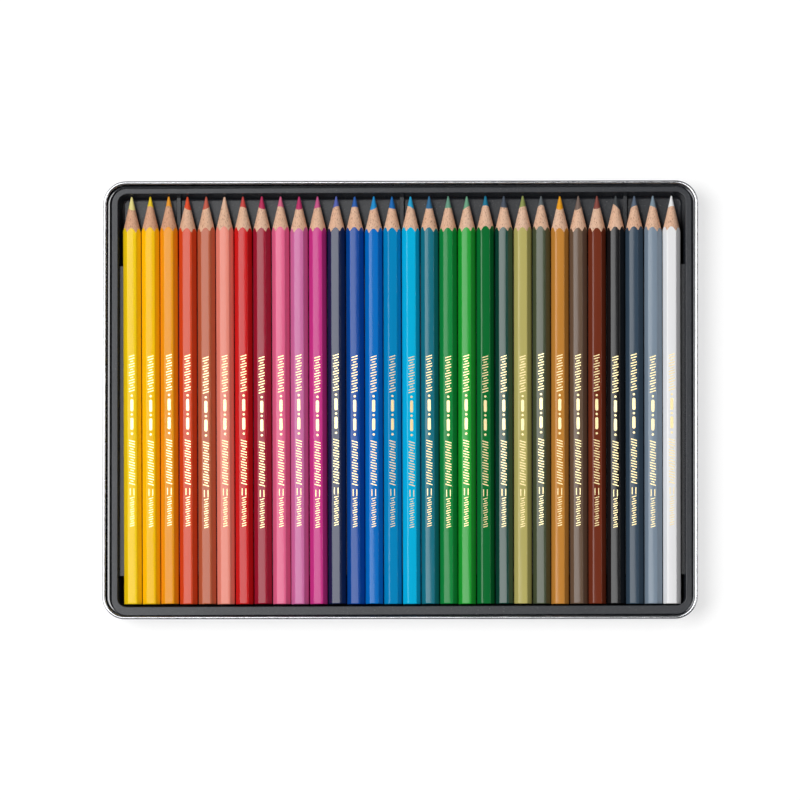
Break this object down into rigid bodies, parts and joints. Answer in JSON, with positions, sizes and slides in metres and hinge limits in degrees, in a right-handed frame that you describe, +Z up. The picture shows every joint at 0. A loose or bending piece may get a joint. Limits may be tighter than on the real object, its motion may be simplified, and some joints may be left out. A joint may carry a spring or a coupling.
{
  "type": "coloured pencil tin",
  "caption": "Shallow open tin with a rolled rim, a black formed liner tray and one row of hexagonal coloured pencils in its grooves, points all one way.",
  "frame": {"origin": "centre of the tin's outline, on the surface that it stands on", "axes": "+X along the row of pencils, +Y towards their points, +Z up out of the open tin"},
  "size_m": [0.256, 0.1886, 0.0137],
  "materials": {
    "tinplate": "bright tinplate",
    "liner": "satin black",
    "lacquer_lemon_yellow": "gloss lacquer on cedar",
    "lacquer_golden_yellow": "gloss lacquer on cedar",
    "lacquer_orange": "gloss lacquer on cedar",
    "lacquer_vermilion": "gloss lacquer on cedar",
    "lacquer_terracotta": "gloss lacquer on cedar",
    "lacquer_salmon": "gloss lacquer on cedar",
    "lacquer_scarlet": "gloss lacquer on cedar",
    "lacquer_crimson": "gloss lacquer on cedar",
    "lacquer_pink": "gloss lacquer on cedar",
    "lacquer_lilac": "gloss lacquer on cedar",
    "lacquer_magenta": "gloss lacquer on cedar",
    "lacquer_navy": "gloss lacquer on cedar",
    "lacquer_ultramarine": "gloss lacquer on cedar",
    "lacquer_azure": "gloss lacquer on cedar",
    "lacquer_cerulean": "gloss lacquer on cedar",
    "lacquer_sky_blue": "gloss lacquer on cedar",
    "lacquer_teal": "gloss lacquer on cedar",
    "lacquer_green": "gloss lacquer on cedar",
    "lacquer_light_green": "gloss lacquer on cedar",
    "lacquer_emerald": "gloss lacquer on cedar",
    "lacquer_dark_green": "gloss lacquer on cedar",
    "lacquer_olive_yellow": "gloss lacquer on cedar",
    "lacquer_olive_grey": "gloss lacquer on cedar",
    "lacquer_ochre": "gloss lacquer on cedar",
    "lacquer_umber": "gloss lacquer on cedar",
    "lacquer_sienna": "gloss lacquer on cedar",
    "lacquer_black": "gloss lacquer on cedar",
    "lacquer_slate_blue": "gloss lacquer on cedar",
    "lacquer_steel_grey": "gloss lacquer on cedar",
    "lacquer_white": "gloss lacquer on cedar"
  },
  "bodies": {
    "tin": {"tin_pan": "tinplate"},
    "tray": {"liner_tray": "liner"},
    "pencil_01": {"pencil_01_lemon_yellow": "lacquer_lemon_yellow"},
    "pencil_02": {"pencil_02_golden_yellow": "lacquer_golden_yellow"},
    "pencil_03": {"pencil_03_orange": "lacquer_orange"},
    "pencil_04": {"pencil_04_vermilion": "lacquer_vermilion"},
    "pencil_05": {"pencil_05_terracotta": "lacquer_terracotta"},
    "pencil_06": {"pencil_06_salmon": "lacquer_salmon"},
    "pencil_07": {"pencil_07_scarlet": "lacquer_scarlet"},
    "pencil_08": {"pencil_08_crimson": "lacquer_crimson"},
    "pencil_09": {"pencil_09_pink": "lacquer_pink"},
    "pencil_10": {"pencil_10_lilac": "lacquer_lilac"},
    "pencil_11": {"pencil_11_magenta": "lacquer_magenta"},
    "pencil_12": {"pencil_12_navy": "lacquer_navy"},
    "pencil_13": {"pencil_13_ultramarine": "lacquer_ultramarine"},
    "pencil_14": {"pencil_14_azure": "lacquer_azure"},
    "pencil_15": {"pencil_15_cerulean": "lacquer_cerulean"},
    "pencil_16": {"pencil_16_sky_blue": "lacquer_sky_blue"},
    "pencil_17": {"pencil_17_teal": "lacquer_teal"},
    "pencil_18": {"pencil_18_green": "lacquer_green"},
    "pencil_19": {"pencil_19_light_green": "lacquer_light_green"},
    "pencil_20": {"pencil_20_emerald": "lacquer_emerald"},
    "pencil_21": {"pencil_21_dark_green": "lacquer_dark_green"},
    "pencil_22": {"pencil_22_olive_yellow": "lacquer_olive_yellow"},
    "pencil_23": {"pencil_23_olive_grey": "lacquer_olive_grey"},
    "pencil_24": {"pencil_24_ochre": "lacquer_ochre"},
    "pencil_25": {"pencil_25_umber": "lacquer_umber"},
    "pencil_26": {"pencil_26_sienna": "lacquer_sienna"},
    "pencil_27": {"pencil_27_black": "lacquer_black"},
    "pencil_28": {"pencil_28_slate_blue": "lacquer_slate_blue"},
    "pencil_29": {"pencil_29_steel_grey": "lacquer_steel_grey"},
    "pencil_30": {"pencil_30_white": "lacquer_white"}
  },
  "joints": [
    {"name": "tray_lift", "type": "slide", "parent": "tin", "child": "tray", "axis": [0, 0, 1], "range_m": [0, 0.03]},
    {"name": "pencil_01_lift", "type": "slide", "parent": "tray", "child": "pencil_01", "axis": [0, 0, 1], "range_m": [0, 0.025]},
    {"name": "pencil_02_lift", "type": "slide", "parent": "tray", "child": "pencil_02", "axis": [0, 0, 1], "range_m": [0, 0.025]},
    {"name": "pencil_03_lift", "type": "slide", "parent": "tray", "child": "pencil_03", "axis": [0, 0, 1], "range_m": [0, 0.025]},
    {"name": "pencil_04_lift", "type": "slide", "parent": "tray", "child": "pencil_04", "axis": [0, 0, 1], "range_m": [0, 0.025]},
    {"name": "pencil_05_lift", "type": "slide", "parent": "tray", "child": "pencil_05", "axis": [0, 0, 1], "range_m": [0, 0.025]},
    {"name": "pencil_06_lift", "type": "slide", "parent": "tray", "child": "pencil_06", "axis": [0, 0, 1], "range_m": [0, 0.025]},
    {"name": "pencil_07_lift", "type": "slide", "parent": "tray", "child": "pencil_07", "axis": [0, 0, 1], "range_m": [0, 0.025]},
    {"name": "pencil_08_lift", "type": "slide", "parent": "tray", "child": "pencil_08", "axis": [0, 0, 1], "range_m": [0, 0.025]},
    {"name": "pencil_09_lift", "type": "slide", "parent": "tray", "child": "pencil_09", "axis": [0, 0, 1], "range_m": [0, 0.025]},
    {"name": "pencil_10_lift", "type": "slide", "parent": "tray", "child": "pencil_10", "axis": [0, 0, 1], "range_m": [0, 0.025]},
    {"name": "pencil_11_lift", "type": "slide", "parent": "tray", "child": "pencil_11", "axis": [0, 0, 1], "range_m": [0, 0.025]},
    {"name": "pencil_12_lift", "type": "slide", "parent": "tray", "child": "pencil_12", "axis": [0, 0, 1], "range_m": [0, 0.025]},
    {"name": "pencil_13_lift", "type": "slide", "parent": "tray", "child": "pencil_13", "axis": [0, 0, 1], "range_m": [0, 0.025]},
    {"name": "pencil_14_lift", "type": "slide", "parent": "tray", "child": "pencil_14", "axis": [0, 0, 1], "range_m": [0, 0.025]},
    {"name": "pencil_15_lift", "type": "slide", "parent": "tray", "child": "pencil_15", "axis": [0, 0, 1], "range_m": [0, 0.025]},
    {"name": "pencil_16_lift", "type": "slide", "parent": "tray", "child": "pencil_16", "axis": [0, 0, 1], "range_m": [0, 0.025]},
    {"name": "pencil_17_lift", "type": "slide", "parent": "tray", "child": "pencil_17", "axis": [0, 0, 1], "range_m": [0, 0.025]},
    {"name": "pencil_18_lift", "type": "slide", "parent": "tray", "child": "pencil_18", "axis": [0, 0, 1], "range_m": [0, 0.025]},
    {"name": "pencil_19_lift", "type": "slide", "parent": "tray", "child": "pencil_19", "axis": [0, 0, 1], "range_m": [0, 0.025]},
    {"name": "pencil_20_lift", "type": "slide", "parent": "tray", "child": "pencil_20", "axis": [0, 0, 1], "range_m": [0, 0.025]},
    {"name": "pencil_21_lift", "type": "slide", "parent": "tray", "child": "pencil_21", "axis": [0, 0, 1], "range_m": [0, 0.025]},
    {"name": "pencil_22_lift", "type": "slide", "parent": "tray", "child": "pencil_22", "axis": [0, 0, 1], "range_m": [0, 0.025]},
    {"name": "pencil_23_lift", "type": "slide", "parent": "tray", "child": "pencil_23", "axis": [0, 0, 1], "range_m": [0, 0.025]},
    {"name": "pencil_24_lift", "type": "slide", "parent": "tray", "child": "pencil_24", "axis": [0, 0, 1], "range_m": [0, 0.025]},
    {"name": "pencil_25_lift", "type": "slide", "parent": "tray", "child": "pencil_25", "axis": [0, 0, 1], "range_m": [0, 0.025]},
    {"name": "pencil_26_lift", "type": "slide", "parent": "tray", "child": "pencil_26", "axis": [0, 0, 1], "range_m": [0, 0.025]},
    {"name": "pencil_27_lift", "type": "slide", "parent": "tray", "child": "pencil_27", "axis": [0, 0, 1], "range_m": [0, 0.025]},
    {"name": "pencil_28_lift", "type": "slide", "parent": "tray", "child": "pencil_28", "axis": [0, 0, 1], "range_m": [0, 0.025]},
    {"name": "pencil_29_lift", "type": "slide", "parent": "tray", "child": "pencil_29", "axis": [0, 0, 1], "range_m": [0, 0.025]},
    {"name": "pencil_30_lift", "type": "slide", "parent": "tray", "child": "pencil_30", "axis": [0, 0, 1], "range_m": [0, 0.025]}
  ]
}
